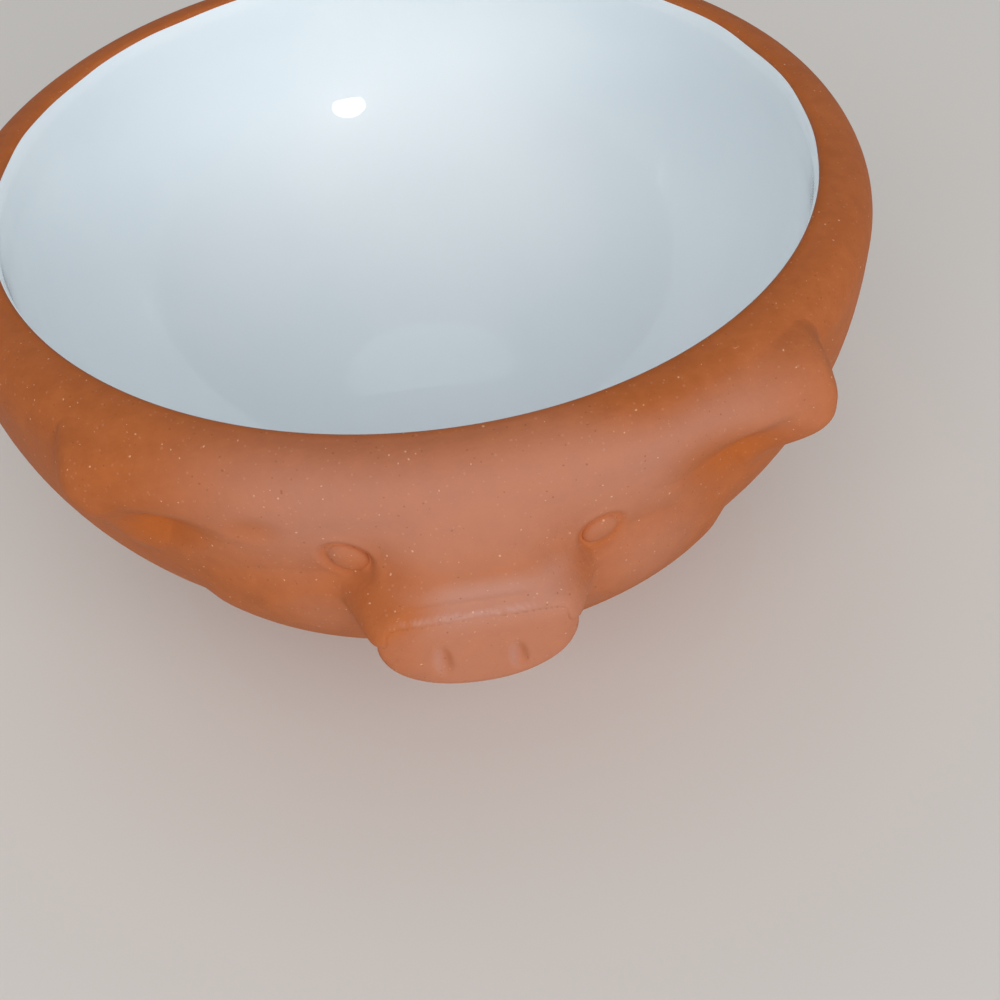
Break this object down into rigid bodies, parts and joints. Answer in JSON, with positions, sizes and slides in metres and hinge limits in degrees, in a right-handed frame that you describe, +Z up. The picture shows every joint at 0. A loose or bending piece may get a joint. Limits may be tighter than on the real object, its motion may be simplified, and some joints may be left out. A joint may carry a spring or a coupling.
{
  "type": "spice bowl",
  "caption": "Small round clay spice bowl with a thick rounded rim, a glossy white glazed inside and a pig's face in relief on the front, standing on a turned foot ring.",
  "frame": {"origin": "centre of the foot ring's resting face, on the table", "axes": "+Z up out of the mouth, -Y the way the pig's face looks, +X to the right of someone who looks at the face"},
  "size_m": [0.09, 0.0956, 0.0416],
  "materials": {
    "clay": "unglazed matt orange-red clay with fine sand",
    "glaze": "glossy white glaze with a faint blue cast"
  },
  "bodies": {
    "root": {"clay_bowl": "clay", "foot_ring": "clay", "glaze_lining": "glaze", "muzzle": "clay", "nose_pad": "clay", "left_ear": "clay", "right_ear": "clay", "left_eye": "clay", "right_eye": "clay"}
  },
  "joints": []
}
